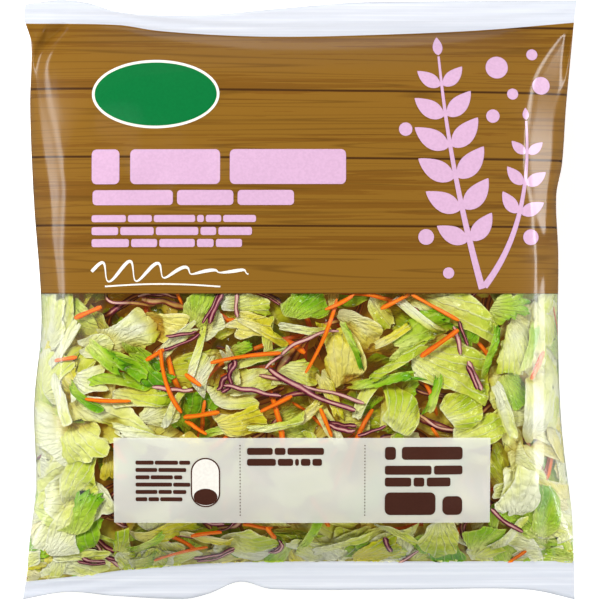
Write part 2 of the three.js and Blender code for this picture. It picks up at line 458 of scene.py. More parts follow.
def shredSurface(add, stops, look):
    # A raw shred cut by a blade: moist, smooth and a little see-through. The colour goes across the strand,
    # from the flesh in the middle to its skin at the edges, with streaks along it and a tone for each piece.
    place = add("Attribute", attribute_name="leafPlace").outputs["Vector"]
    tone = add("Attribute", attribute_name="tone").outputs["Fac"]
    across = add("SeparateXYZ", [place]).outputs["Y"]
    stretch = add("VectorMath", [place, (1 / 6, 1.4, 1)], operation="MULTIPLY")
    streak = add("TexNoise", {"Scale": 1.3, "Detail": 3, "Vector": stretch})
    side = add("Math", [across], operation="ABSOLUTE")
    shift = add("Math", [streak, look["streak"], -look["streak"] / 2], operation="MULTIPLY_ADD")
    darker = add("Math", [tone, look["piece"], shift], operation="MULTIPLY_ADD")
    toSkin = add("Math", [side, darker], operation="ADD")
    ramp = fillRamp(add("ValToRGB", {"Fac": toSkin}), stops)
    bump = add("Bump", {"Strength": 0.4, "Distance": 0.2 * mm, "Height": streak})
    # painted shade by depth, and a painted glow given as emission
    colour, paintedGlow = inTheHeap(add, ramp)
    return add("BsdfPrincipled", {
        "Base Color": colour, "Roughness": 0.36, "IOR": 1.4, "Specular IOR Level": 0.3, "Normal": bump,
        "Emission Color": paintedGlow, "Emission Strength": 1.0})


carrotShred = makeMaterial(
    "raw_carrot_julienned", shredSurface,
    {0.0: "#F28A18", 0.45: "#E9700A", 1.0: "#D95604"}, {"streak": 0.5, "piece": 0.3})
cabbageShred = makeMaterial(
    "raw_red_cabbage_shredded", shredSurface,
    {0.0: "#DCB6A4", 0.35: "#BE8480", 0.5: "#8E3C4C", 0.7: "#661E32", 1.0: "#4A1022"},
    {"streak": 0.7, "piece": 0.6})


def heapSurface(add):
    # Cut leaf deep in the heap, where little light comes: patches of leaf with a dark brown between them,
    # which is painted shade in the gaps
    coords = add("TexCoord").outputs["Object"]
    patch = add("TexNoise", {"Scale": 1 / (9 * mm), "Detail": 4, "Vector": coords})
    ramp = fillRamp(add("ValToRGB", {"Fac": patch}), {0.35: "#8C6A2A", 0.5: "#C4BE50", 0.65: "#E0E488"})
    bump = add("Bump", {"Strength": 0.6, "Distance": 1 * mm, "Height": patch})
    # painted shade by depth, and a painted glow given as emission
    colour, paintedGlow = inTheHeap(add, ramp)
    return add("BsdfPrincipled", {
        "Base Color": colour, "Roughness": 0.6, "Normal": bump,
        "Emission Color": paintedGlow, "Emission Strength": 1.0})


def clearFilmSurface(add):
    # Blown polypropylene film, 0.04 mm thick: nearly invisible face on, milky down the two sides, with sharp
    # bright reflections. The milk is partly the film's haze and partly a painted wash of light where it faces
    # sideways. Its two faces together mirror 5% face on, which rises with the slant's fifth power.
    clear = add("BsdfTransparent", {"Color": sRgb("#FDFEFE")})
    gloss = add("BsdfGlossy", {"Roughness": 0.16})
    slant = add("LayerWeight", {"Blend": 0.5}).outputs["Facing"]
    fifth = add("Math", [slant, 5], operation="POWER")
    mirrored = add("Math", [fifth, 0.93, 0.05], operation="MULTIPLY_ADD")
    milk = add("BsdfDiffuse", {"Color": sRgb("#F4F8F0")})
    # painted wash: up to a fifth white diffuse where the film's normal points sideways, part haze and part
    # painted light
    parts = add("SeparateXYZ", [add("NewGeometry").outputs["Normal"]])
    sideways = add("Math", [parts], operation="ABSOLUTE")
    hazeAndPaintedWash = add("MapRange", {"Value": sideways, "From Min": 0.35, "From Max": 0.9, "To Max": 0.2})
    hazyWithPaintedWash = add("MixShader", [hazeAndPaintedWash, clear, milk])
    return add("MixShader", [mirrored, hazyWithPaintedWash, gloss])


def weldedFilmSurface(add):
    # The same film where two layers are pressed together hot: milky blue-white, with fine lines along the
    # jaw, 83 mm long and 1.1 mm apart
    coords = add("TexCoord").outputs["Object"]
    stretch = add("Mapping", {"Scale": (12, 900, 12), "Vector": coords})
    lines = add("TexNoise", {"Scale": 1.0, "Detail": 3, "Vector": stretch})
    ramp = fillRamp(add("ValToRGB", {"Fac": lines}), {0.3: "#D3D8E2", 0.55: "#D9DDE6", 0.72: "#E5E8EF"})
    bump = add("Bump", {"Strength": 0.35, "Distance": 0.15 * mm, "Height": lines})
    milk = add("BsdfPrincipled", {"Base Color": ramp, "Roughness": 0.28, "IOR": 1.5, "Normal": bump})
    return add("MixShader", [0.8, add("BsdfTransparent"), milk])


# Ink seen through film: the ink itself is matt, and the film's face mirrors sharply
underFilm = {"Roughness": 0.7, "Specular IOR Level": 0.1, "Coat Weight": 0.6, "Coat Roughness": 0.16,
             "Coat IOR": 1.65}
planks = {"pitch": 30.3, "joint": 93.5, "jointWidth": 0.7, "grain": 1.5, "run": 80, "line": 4.4,
          "spread": 0.00011}


def printedFilmSurface(add):
    # The film printed inside with brown boards: matt ink under the film's glossy face, which is the coat.
    # The boards run across, with dark joints and drawn-out grain.
    coords = add("TexCoord").outputs["Object"]
    parts = add("SeparateXYZ", [coords])
    # the boards are a little wider on the left than on the right
    narrower = add("Math", [parts, planks["spread"] / mm, 1.0], operation="MULTIPLY_ADD")
    level = add("Math", [parts.outputs["Y"], narrower], operation="MULTIPLY")
    start = (planks["joint"] - 5 * planks["pitch"]) * mm
    upTo = start + planks["pitch"] * mm
    boards = add("MapRange", {"Value": level, "From Min": start, "From Max": upTo}, clamp=False)
    number = add("Math", [boards], operation="FLOOR")
    inBoard = add("Math", [boards, 0.5], operation="PINGPONG")
    # grain drawn out along the boards, from another place of the pattern in each board
    run, grainWidth = 1 / (planks["run"] * mm), 1 / (planks["grain"] * mm)
    stretch = add("Mapping", {"Scale": (run, grainWidth, run), "Vector": coords})
    offset = add("CombineXYZ", {"X": number, "Z": number})
    moved = add("VectorMath", [stretch, offset], operation="ADD")
    grain = add("TexNoise", {
        "Scale": 1.0, "Detail": 5, "Roughness": 0.62, "Distortion": 0.25, "Vector": moved})
    broad = add("TexNoise", {"Scale": 0.12, "Detail": 2, "Vector": moved})
    tone = add("Math", [broad, 1.2, grain], operation="MULTIPLY_ADD")
    ramp = fillRamp(add("ValToRGB", {"Fac": tone}),
                    {0.8: "#724C14", 1.0: "#785016", 1.2: "#7E5619", 1.35: "#835C1C"})
    # thin dark lines, 4 to 5 mm apart, that waver with the grain
    waver = add("Math", [broad, 2.2, boards], operation="MULTIPLY_ADD")
    spaced = add("Math", [waver, planks["pitch"] / planks["line"]], operation="MULTIPLY")
    fromLine = add("Math", [spaced, 0.5], operation="PINGPONG")
    fineLine = add("MapRange", {"Value": fromLine, "From Min": 0.14, "From Max": 0.02, "To Max": 0.5})
    lined = add("Mix", {"Factor": fineLine, "A": ramp, "B": sRgb("#593A0E")}, data_type="RGBA")
    edge = planks["jointWidth"] / planks["pitch"]
    joint = add("MapRange", {"Value": inBoard, "From Min": edge, "From Max": edge * 0.4})
    jointed = add("Mix", {"Factor": joint, "A": lined, "B": sRgb("#43270A")}, data_type="RGBA")
    return add("BsdfPrincipled", {**underFilm, "Base Color": jointed})


def inkSurface(add, code, speck=0.04):
    # Flexo ink on film: an even colour with the faint mottle of the printing plate, glossy as the film is
    coords = add("TexCoord").outputs["Object"]
    plate = add("TexNoise", {"Scale": 1 / (1.2 * mm), "Detail": 2, "Vector": coords})
    colour = np.array(sRgb(code))
    low, high = colour * (1 - speck), np.minimum(colour * (1 + speck), 1)
    ramp = fillRamp(add("ValToRGB", {"Fac": plate}), {0.35: (*low[:3], 1), 0.65: (*high[:3], 1)})
    return add("BsdfPrincipled", {**underFilm, "Base Color": ramp})


def veilSurface(add):
    # White ink printed thinly on clear film: a veil, each of its two faces passing part of the light
    ink = add("BsdfPrincipled", {**underFilm, "Base Color": sRgb("#F4F4EA")})
    return add("MixShader", [0.48, add("BsdfTransparent"), ink])


clearFilm = makeMaterial("polypropylene_film_clear", clearFilmSurface)
weldedFilm = makeMaterial("polypropylene_film_heat_sealed", weldedFilmSurface)
printedFilm = makeMaterial("polypropylene_film_printed_boards", printedFilmSurface)
heapShade = makeMaterial("lettuce_heap_in_shade", heapSurface)
pinkInk = makeMaterial("pink_flexo_ink", inkSurface, "#CCA6C3")
whiteInk = makeMaterial("white_flexo_ink", inkSurface, "#ECE8DE")
greenInk = makeMaterial("green_flexo_ink", inkSurface, "#046C33")
brownInk = makeMaterial("brown_flexo_ink", inkSurface, "#44241A")
veil = makeMaterial("white_ink_veil_on_film", veilSurface)
print("materials made")

# The film's mesh
filmSteps = {"across": 160, "seal": 9, "window": 80, "print": 68}


def crowded(count, share):
    # -1 to 1, closer together towards both ends
    t = np.linspace(-1, 1, count)
    return lerp(t, np.sin(t * np.pi / 2), share)


def filmRows():
    # rows that meet the welds and the print's edge
    seal = np.linspace(0, 1, filmSteps["seal"] + 1)
    lower = 2 + crowded(2 * filmSteps["window"] + 1, 0.5)[: filmSteps["window"] + 1]
    upper = 2 + crowded(2 * filmSteps["print"] + 1, 0.5)[filmSteps["print"] :]
    return np.concatenate([seal[:-1], lower[:-1], upper[:-1], 3 + seal])


def makeFilm():
    # the front and the back as two grids of the same rows and columns, joined along the rim
    columns = crowded(filmSteps["across"] + 1, 0.8)
    rows = filmRows()
    u, v = np.meshgrid(columns, rows)
    front, back = filmPoint(u, v, 1), filmPoint(u, v, -1)
    points = np.concatenate([front.reshape(-1, 3), back.reshape(-1, 3)])
    quads = slabQuads(len(rows), len(columns))
    centre = v.ravel()[quads % u.size].mean(1)
    worn = np.select([(centre < 1) | (centre > 3), centre > 2], [1, 2], 0)
    piece = makePiece("film", points, quads, [clearFilm, weldedFilm, printedFilm], worn)
    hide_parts("salad_bag")


makeFilm()

# The space inside the film, unrolled. X is the way round the bag from the middle of the front, to the
# middle of the back at plus or minus loopHalf. Y is the way up the front from the bottom weld. Depth is
# the way in from the film.
loopHalf = 250
inside = {
    "top": 27,  # the salad ends behind the print, this high on the front
    "underWeld": 0.004,
    "deepest": 0.42,
    "rows": 600,
    "columns": 501,
    "crowding": 0.85,
    "smoothings": 3,
}


def unrolled():
    # Positions, inward directions and the most depth, on a grid of one millimetre. Inward is square to both
    # ways of the grid, smoothed over 5 mm. The most depth is a share of the bag's thickness there.
    shares = np.linspace(-inside["underWeld"], bodyShare(0.0, inside["top"]), inside["rows"])
    low, high = weldLow(0.0), weldHigh(0.0)
    y = lerp(low, high, shares)
    z = frontHeight(np.zeros_like(y), y)
    up = np.concatenate([[0], np.cumsum(np.hypot(np.diff(y), np.diff(z)))])
    rowShares = np.interp(np.arange(0, up[-1]), up, shares)
    u = crowded(inside["columns"], inside["crowding"])
    # past 1 and -1 it runs on round the back
    w = np.unique(np.concatenate([u, 2 - u[u >= 0], -2 - u[u <= 0]]))
    onFront = np.abs(w) <= 1
    u = np.where(onFront, w, np.sign(w) * (2 - np.abs(w)))
    xi = np.arange(-loopHalf, loopHalf + 1)
    place, across = [], []
    for share in rowShares:
        x = u * halfWidth(u, nominalHeight(share))
        y = lerp(weldLow(x), weldHigh(x), share)
        front, back = facetedHeight(x, y, u), skinHeight(x, y, u, -1)
        z = np.where(onFront, front, back)
        steps = np.sqrt(np.diff(x) ** 2 + np.diff(y) ** 2 + np.diff(z) ** 2)
        around = np.concatenate([[0], np.cumsum(steps)])
        around = around - np.interp(0, w, around)
        around = np.where(around < 0, around / -around[0], around / around[-1]) * loopHalf
        place.append(np.stack([np.interp(xi, around, q) for q in (x, y, z)], -1))
        across.append(np.interp(xi, around, front - back))
    place, across = np.array(place), np.array(across)
    dx = np.gradient(place, axis=1)
    dx[:, 0] = dx[:, -1] = place[:, 1] - place[:, -2]
    inward = -np.cross(dx, np.gradient(place, axis=0))
    for _ in range(inside["smoothings"]):
        inward /= np.linalg.norm(inward, axis=-1, keepdims=True) + 1e-9
        ring = inward[:, :-1]
        ring = sum(np.roll(ring, k, 1) for k in range(-2, 3))
        inward = np.concatenate([ring, ring[:, :1]], 1)
        padded = np.pad(inward, ((2, 2), (0, 0), (0, 0)), "edge")
        inward = sum(padded[k : k + len(inward)] for k in range(5))
    inward /= np.linalg.norm(inward, axis=-1, keepdims=True)
    return place, inward, inside["deepest"] * across


placeTable, inwardTable, deepestTable = unrolled()
tableRows = len(placeTable)
print("unrolled space", placeTable.shape)


def betweenPoints(table, gx, gy):
    # a table's value between the four nearest of its points
    i, j = gy.astype(int), gx.astype(int)
    fy, fx = gy - i, gx - j
    if table.ndim > 2:
        fy, fx = fy[..., None], fx[..., None]
    return lerp(lerp(table[i, j], table[i, j + 1], fx), lerp(table[i + 1, j], table[i + 1, j + 1], fx), fy)


def readTable(table, X, Y):
    # X runs on round the bag, and Y stops at the first and the last row
    return betweenPoints(table, (X + loopHalf) % (2 * loopHalf), np.clip(Y, 0, tableRows - 1.001))


def abovePlanPoint(x, y):
    # X and Y of the front's point that is nearest in plan
    front = placeTable[:, loopHalf // 2 : 3 * loopHalf // 2 + 1]
    away = (front[..., 0] - x) ** 2 + (front[..., 1] - y) ** 2
    i, j = np.unravel_index(np.argmin(away), away.shape)
    return j - loopHalf // 2, i


# The heap: pieces are laid from the film inwards, and each settles under those that are there
filmFree = 0.3  # no piece comes nearer to the film
taken = np.full((tableRows, 2 * loopHalf), filmFree)  # depth taken up so far
laid = np.zeros((tableRows, 2 * loopHalf))  # how many pieces lie over each spot
rng = np.random.default_rng(20)
clearance = 0.25  # between one piece and the next
filmGap = 0.35  # between the film and the nearest piece


def windowed(values, reach, reduce):
    # the most or the mean over a square that reaches so far to each side
    for axis in (0, 1):
        margin = [(reach, reach) if axis == k else (0, 0) for k in (0, 1)]
        padded = np.pad(values, margin, "edge")
        values = reduce(np.lib.stride_tricks.sliding_window_view(padded, 2 * reach + 1, axis), axis=-1)
    return values


def underneath(X, Y, stiffness):
    # The depth that is free under a patch of the heap: what is taken and, for a stiff piece, nearly as
    # much beside it, so that the piece bridges steps and leaves gaps
    margin = 12
    low = np.maximum(int(Y.min()) - margin, 0)
    high = np.minimum(int(Y.max()) + margin + 1, tableRows)
    left = int(X.min()) - margin
    columns = np.arange(left, int(X.max()) + margin + 2) + loopHalf
    wide = windowed(taken[low:high][:, columns % (2 * loopHalf)], 2, np.max)
    soft = windowed(windowed(windowed(wide, stiffness, np.max), stiffness, np.mean), stiffness, np.mean)
    cover = np.maximum(wide, 0.7 * soft)
    rows, width = cover.shape
    return betweenPoints(cover, np.clip(X - left, 0, width - 1.001), np.clip(Y - low, 0, rows - 1.001))


def occupy(X, Y, depth):
    # marks the depth that a piece takes up
    i = np.clip(np.round(Y).astype(int), 0, tableRows - 1).ravel()
    j = (np.round(X).astype(int) + loopHalf).ravel() % (2 * loopHalf)
    np.maximum.at(taken, (i, j), depth.ravel())
    hit = np.zeros_like(laid, bool)
    hit[i, j] = True
    laid[hit] += 1


def finer(values):
    # a grid with a new line halfway between each two
    rows = np.empty((2 * values.shape[0] - 1, values.shape[1]))
    rows[::2], rows[1::2] = values, (values[1:] + values[:-1]) / 2
    both = np.empty((rows.shape[0], 2 * rows.shape[1] - 1))
    both[:, ::2], both[:, 1::2] = rows, (rows[:, 1:] + rows[:, :-1]) / 2
    return both


def softMax(a, b, blend=0.5):
    # the larger, with a soft change from one to the other
    return np.maximum(a, b) + blend * np.log1p(np.exp(-np.abs(a - b) / blend))


def keepOffWeld(Y):
    # rows that would run into the bottom weld are pressed together before it
    return 0.5 * np.logaddexp(0, Y / 0.5) + 0.1


# Painted shade by depth in the heap: the most that a colour is dimmed, and the depths in millimetres where
# the dimming starts and ends
shade = {"most": 0.92, "starts": 2, "ends": 14}


def inBag(X, Y, depth):
    # points at a depth that the heap's squeeze has made smaller, and how much light is taken to reach them,
    # which is painted shade, darker with depth
    under = depth * readTable(squeezeTable, X, Y)
    points = readTable(placeTable, X, Y) + readTable(inwardTable, X, Y) * under[..., None]
    light = 1 - shade["most"] * smoothStep(under, shade["starts"], shade["ends"])
    return points.reshape(-1, 3), light.ravel()


heap = {kind: {"X": [], "Y": [], "depth": [], "quads": [], "leafPlace": [], "tone": []}
        for kind in ("iceberg", "heart", "green", "carrot", "cabbage")}


def addToHeap(kind, X, Y, depth, quads, place, tone):
    # keeps a piece until all is laid: its points, its faces, and the place and tone that its material reads
    store = heap[kind]
    quads = quads + sum(len(part) for part in store["X"])
    for key, part in zip(store, (X.ravel(), Y.ravel(), depth.ravel(), quads, place, tone)):
        store[key].append(part)


# Where a kind's colour starts and how it rises to the rim, its bend, ruffles and blisters in millimetres, how
# torn its rim is, and its thickness
leafHabit = {
    "iceberg": {"tone": 0.44, "rise": 0.6, "bend": 3.2, "ruffle": 1.2, "blister": 0.8, "ragged": 0.06,
                "thick": 0.7},
    "heart": {"tone": 0.44, "rise": 0.6, "bend": 3.6, "ruffle": 1.6, "blister": 1.0, "ragged": 0.08,
              "thick": 0.6},
    "green": {"tone": 0.5, "rise": 0.6, "bend": 2.6, "ruffle": 1.6, "blister": 0.8, "ragged": 0.11,
              "thick": 0.5},
}
# How every leaf is formed: shares of its size, slopes, and lengths in millimetres. A pair is a range.
leafForm = {
    "overWeld": 0.4,
    "stiffness": 3,
    "settle": 0.3,
    "proud": 0.9,
    "ribThick": 1.2,
    "rimThin": 0.5,
    "bow": (0.22, 0.14),
    "slant": 0.12,
    "base": (0.55, 0.8),
    "tilt": 0.35,
    "foldPlace": 0.6,
    "foldSlope": (0.1, 0.5),
    "foldReach": (0.3, 1.0),
    "rollPlace": (0.45, 0.95),
    "rollSlope": (0.3, 1.2),
    "blisterLength": (5, 10),
    "blisterRise": (0.4, 1.2),
    "crumpleLengths": ([7, 6, 5, 4], [16, 13, 10, 7]),
    "crumpleRise": 0.09,
    "ribbed": 0.4,
    "ribRise": 0.9,
    "ribWidth": 1.9,
    "veinFan": (0.11, 0.18),
}
cutRim = {"cuts": [3, 4, 4, 5, 6], "unequal": 0.25, "nearest": 0.66, "corner": 0.8}
stripRim = {"cuts": [4], "unequal": 0.1, "nearest": 0.7, "corner": 0.68}
fullTurn = 2 * np.pi


def intoDisc(a, b):
    # a square from -1 to 1 drawn into the unit disc
    return a * np.sqrt(1 - b**2 / 2), b * np.sqrt(1 - a**2 / 2)


def zigzag(t):
    # straight up and down between -1 and 1, once for each whole number
    return 4 * np.abs(t - np.floor(t) - 0.5) - 1


def rimRadius(angle, wild, ragged, rim):
    # The rim of a leaf as a share of its half size: a few straight cuts, slow lobes, narrow tears, and
    # pointed teeth on the wild side, which is the leaf's natural rim
    cuts = rng.choice(rim["cuts"]) if len(rim["cuts"]) > 1 else rim["cuts"][0]
    facing = fullTurn * (np.arange(cuts) + rng.uniform(-rim["unequal"], rim["unequal"], cuts)) / cuts
    away = rng.uniform(rim["nearest"], 1.0, cuts)
    toward = np.maximum(np.cos(angle[..., None] - facing), 0) / away
    radius = ((toward**18).sum(-1) + rim["corner"] ** 18) ** (-1 / 18)
    lobes = sum(rng.normal(0, 0.04) * np.sin(k * angle + rng.uniform(0, 6.3)) for k in (2, 3, 5))
    radius = radius * (1 + lobes)
    for _ in range(rng.integers(0, 3)):
        tear = np.cos(angle - rng.uniform(0, fullTurn))
        radius = radius * (1 - rng.uniform(0.1, 0.4) * np.exp((tear - 1) / rng.uniform(0.005, 0.03)))
    teeth = sum(rng.uniform(0.3, 1) * zigzag(k * angle / fullTurn + rng.uniform(0, 1)) for k in (9, 14, 23))
    return radius * (1 + ragged * (0.25 + wild) * teeth)


def leafRelief(habit, px, py, long, short, rho, angle, wild):
    # How far each point of a leaf stands out of its plane: a bend and a tilt, sharp folds, a rolled rim,
    # blisters between veins that fan out from the base, ruffles at the natural rim, crumples with creases
    # between, and a rib. Also the rib's share, and the angle and distance from the leaf's base.
    half = (long + short) / 4
    size = half / 14

    def along(direction):
        return px * np.cos(direction) + py * np.sin(direction)

    baseX, baseY = -long * rng.uniform(*leafForm["base"]), short * rng.uniform(-0.25, 0.25)
    fanAngle = np.arctan2(py - baseY, px - baseX)
    fromBase = np.hypot(px - baseX, py - baseY)
    way = rng.choice([1, 1, -0.7])
    out = -habit["bend"] * way * rng.uniform(0.2, 1.0) * size * (along(rng.uniform(0, np.pi)) / half) ** 2
    out = out - leafForm["tilt"] * rng.uniform() ** 2 * along(rng.uniform(0, fullTurn))
    for _ in range(rng.integers(1, 4)):
        place = leafForm["foldPlace"]
        fold = np.abs(along(rng.uniform(0, np.pi)) - rng.uniform(-place, place) * half)
        fall = rng.uniform(*leafForm["foldSlope"]) * rng.choice([1, 1, -0.8])
        out = out - fall * np.minimum(fold, rng.uniform(*leafForm["foldReach"]) * half)
    rolled = along(rng.uniform(0, fullTurn)) - rng.uniform(*leafForm["rollPlace"]) * half
    out = out - rng.uniform(*leafForm["rollSlope"]) * np.logaddexp(0, 2 * rolled) / 2
    drift = 0.5 * np.sin(along(rng.uniform(0, np.pi)) / rng.uniform(3, 7) + rng.uniform(0, 6.3))
    blister = leafForm["blisterLength"]
    between = np.abs(np.sin(np.pi * (fanAngle * long / rng.uniform(*blister) + drift)))
    beyond = np.abs(np.sin(np.pi * (fromBase / rng.uniform(*blister) + drift + rng.uniform(0, 1))))
    out = out + habit["blister"] * rng.uniform(*leafForm["blisterRise"]) * between * (0.4 + 0.6 * beyond)
    lobes = rng.integers(5, 10)
    out = out + habit["ruffle"] * wild * rho**3 * np.sin(lobes * angle + rng.uniform(0, 6.3)) * size
    for length in rng.uniform(*leafForm["crumpleLengths"]):
        wave = along(rng.uniform(0, np.pi)) / length + 0.3 * np.sin(along(rng.uniform(0, np.pi)) / length)
        out = out + leafForm["crumpleRise"] * length * np.abs(np.sin(np.pi * (wave + rng.uniform(0, 1))))
    ribbed = rng.uniform() < leafForm["ribbed"]
    rib = np.exp(-((fanAngle * fromBase / leafForm["ribWidth"]) ** 2)) * ribbed
    out = out + leafForm["ribRise"] * rib * (1 - smoothStep(fromBase / long, 0.6, 1.3))
    return out, rib, fanAngle, fromBase


def addLeaf(kind, X0, Y0, long, short, turn, toneShift=0.0, pitch=1.4, rest=0.0):
    # A torn or cut piece of leaf: a square grid drawn into a disc, then out to the rim's radius, and the
    # whole bowed and slanted. Its relief is added to the depth that is free, and it takes up its thickness.
    habit = leafHabit[kind]
    # its middle stays so far above the weld that little of it would run in
    Y0 = max(Y0, leafForm["overWeld"] * math.hypot(long * math.sin(turn), short * math.cos(turn)))
    columns, rows = (int(np.clip(size / pitch, 7, 40)) for size in (long, short))
    discX, discY = intoDisc(*np.meshgrid(np.linspace(-1, 1, columns), np.linspace(-1, 1, rows)))
    angle, rho = np.arctan2(discY, discX), np.hypot(discX, discY)
    wild = smoothStep(np.cos(angle - rng.uniform(0, fullTurn)), 0, 0.6) * rng.choice([0.1, 1])
    radius = rimRadius(angle, wild, habit["ragged"], stripRim if short < 0.4 * long else cutRim)
    px, py = rho * radius * np.cos(angle) * long / 2, rho * radius * np.sin(angle) * short / 2
    alongLeaf = 2 * px / long
    bow, bend = leafForm["bow"]
    py = py + short * (rng.normal(0, bow) * alongLeaf**2 + rng.normal(0, bend) * alongLeaf**3)
    py = py + rng.normal(0, leafForm["slant"]) * px
    out, rib, fanAngle, fromBase = leafRelief(habit, px, py, long, short, rho, angle, wild)
    X = X0 + px * np.cos(turn) - py * np.sin(turn)
    Y = np.minimum(keepOffWeld(Y0 + px * np.sin(turn) + py * np.cos(turn)), tableRows - 1.5)
    own = np.maximum(rest + filmGap + np.quantile(out, leafForm["proud"]) - out, filmGap)
    depth = softMax(own, underneath(X, Y, leafForm["stiffness"]) + clearance, leafForm["settle"])
    thick = habit["thick"] * (1 + leafForm["ribThick"] * rib) * (1 - leafForm["rimThin"] * rho**6)
    occupy(finer(X), finer(Y), finer(depth + thick))
    fan = fanAngle / rng.uniform(*leafForm["veinFan"]) + rng.uniform(0, 9)
    place = np.stack([fromBase, fan, np.full_like(fan, rng.uniform(0, 90))], -1).reshape(-1, 3)
    # greener towards the rim, paler at the rib and where it was cut
    tone = habit["tone"] + toneShift + rng.uniform(-0.1, 0.1)
    tone = tone + habit["rise"] * (fromBase / long - 0.8) - 0.3 * rib
    tone = tone + 0.25 * wild * rho**4 - 0.3 * (1 - wild) * rho**14
    addToHeap(kind, np.stack([X, X]), np.stack([Y, Y]), np.stack([depth, depth + thick]),
              slabQuads(rows, columns), np.concatenate([place, place]), np.tile(tone.ravel(), 2))


shredForm = {
    "thick": {"carrot": 1.4, "cabbage": 0.9},
    "step": {True: 1.3, False: 2.4},
    "taper": 0.45,
    "uneven": 0.12,
    "squareness": 0.3,
    "lift": 1.2,
    "tones": [-0.25, 0.1, 0.4],
}


def addShred(kind, X0, Y0, long, wide, turn, curl=0.0, wobble=0.0, fine=True):
    # A strand: its heading turns steadily by curl over its length and sways by wobble, and a rounded
    # section, |cos|^0.3 by |sin|^0.3, is carried along it
    thick = shredForm["thick"][kind]
    stations = int(np.clip(long / shredForm["step"][fine], 8, 44))
    s = np.linspace(0, 1, stations)
    sway = wobble * np.sin(2 * np.pi * rng.uniform(1.2, 2.6) * s + rng.uniform(0, 6.3))
    heading = turn + curl * (s - 0.5) + sway
    step = long / (stations - 1)
    midway = (heading[1:] + heading[:-1]) / 2
    X, Y = (np.concatenate([[0], np.cumsum(part)]) * step for part in (np.cos(midway), np.sin(midway)))
    X, Y = X + X0 - X.mean(), Y + Y0 - Y.mean()
    taper = 1 - shredForm["taper"] * np.abs(2 * s - 1) ** rng.uniform(14, 40)
    width = wide * taper * (1 + shredForm["uneven"] * np.sin(7 * s + rng.uniform(0, 6.3)))
    phi = 2 * np.pi * (np.arange(8) + 0.5) / 8
    square = shredForm["squareness"]
    side, lift = (np.sign(part) * np.abs(part) ** square for part in (np.cos(phi), np.sin(phi)))
    ringX = X[:, None] - np.sin(heading)[:, None] * side * width[:, None] / 2
    ringY = Y[:, None] + np.cos(heading)[:, None] * side * width[:, None] / 2
    ringY = np.minimum(keepOffWeld(ringY), tableRows - 1.5)
    own = filmGap + rng.uniform(0, shredForm["lift"]) * (1 - np.sin(np.pi * s))
    depth = softMax(own, underneath(ringX, ringY, 1).max(1) + clearance)
    # stiff over short steps: no higher than the mean of five stations
    ends = np.pad(depth, 2, "edge")
    depth = np.maximum(depth, (ends[:-4] + ends[1:-3] + ends[2:-2] + ends[3:-1] + ends[4:]) / 5)
    level = depth[:, None] + thick / 2 * (1 - lift) * taper[:, None]
    spread = np.linspace(0, 1, int(wide) + 3)
    acrossX, acrossY = (lerp(ring[:, :1], ring[:, 3:4], spread) for ring in (ringX, ringY))
    occupy(finer(acrossX), finer(acrossY), finer(np.repeat((depth + thick)[:, None], len(spread), 1)))
    run = np.repeat(s[:, None] * long, 8, 1)
    place = np.stack([run, np.repeat(side[None], stations, 0), np.full_like(run, rng.uniform(0, 90))], -1)
    addToHeap(kind, ringX, ringY, level, strandQuads(stations), place.reshape(-1, 3),
              np.full(level.size, rng.choice(shredForm["tones"])))


# What lies against the film where the photograph shows it, outermost first: middle in the photograph's
# pixels, length and width in millimetres, degrees it is turned, and how much greener (+) or paler (-)
carrotsOnTop = [
    # middle, length, degrees, curl
    (168, 384, 30, -72, 0.5), (154, 356, 9, 32, 0), (87, 312, 14, 18, 0), (62, 359, 12, 5, 0),
    (106, 400, 20, -6, 0.2), (192, 380, 9, -38, 0), (201, 415, 16, 10, 0), (194, 430, 11, -30, 0),
    (340, 303, 14, 28, 0.3), (324, 336, 36, 68, 0.35), (246, 356, 30, 8, -0.2), (275, 404, 15, 28, 0),
    (326, 424, 14, -70, 0), (441, 345, 20, 36, 0), (436, 308, 24, -30, 0), (396, 302, 14, 28, 0),
    (570, 322, 16, -50, 0.4), (180, 557, 26, 20, -0.3), (541, 366, 14, 60, 0.2), (120, 477, 5, 0, 0),
    (352, 463, 12, 75, 0), (206, 537, 14, 8, -0.4), (520, 560, 12, 55, 0), (271, 537, 9, -65, 0),
]
cabbageOnTop = [
    # middle, length, width, degrees, curl, wobble
    (300, 346, 44, 2.6, 32, -0.5, 0.15), (311, 390, 48, 4.4, -22, 0.4, 0.1),
    (252, 391, 26, 1.8, -12, 0.3, 0.2), (228, 376, 20, 3.4, 70, 0.8, 0.7), (180, 334, 17, 2.0, 8, 0.5, 0.2),
    (181, 345, 22, 1.6, 30, 0, 0.1), (172, 389, 18, 1.5, -4, 0.5, 0.2), (475, 378, 14, 3.2, -66, 0.1, 0.1),
    (460, 342, 17, 2.6, -78, 0.2, 0.2), (466, 334, 15, 2.2, -60, 0.1, 0.1),
    (388, 548, 13, 2.4, -74, 0.2, 0.1), (215, 560, 24, 5.0, 20, 0.9, 0.2),
    (278, 552, 14, 3.0, 60, 2.2, 0.2), (214, 308, 18, 4.6, 62, 0.2, 0.1),
    (237, 305, 12, 1.8, -80, 0.3, 0.1), (372, 433, 14, 2.6, 20, 0.3, 0.2),
    (340, 428, 16, 4.0, -10, 0.4, 0.3), (508, 525, 22, 1.4, -40, 0, 0.1), (410, 560, 16, 1.6, 50, 0, 0.1),
    (256, 472, 22, 6.0, -60, 1.4, 0.4), (90, 566, 14, 5.0, -30, 0.8, 0.2),
]
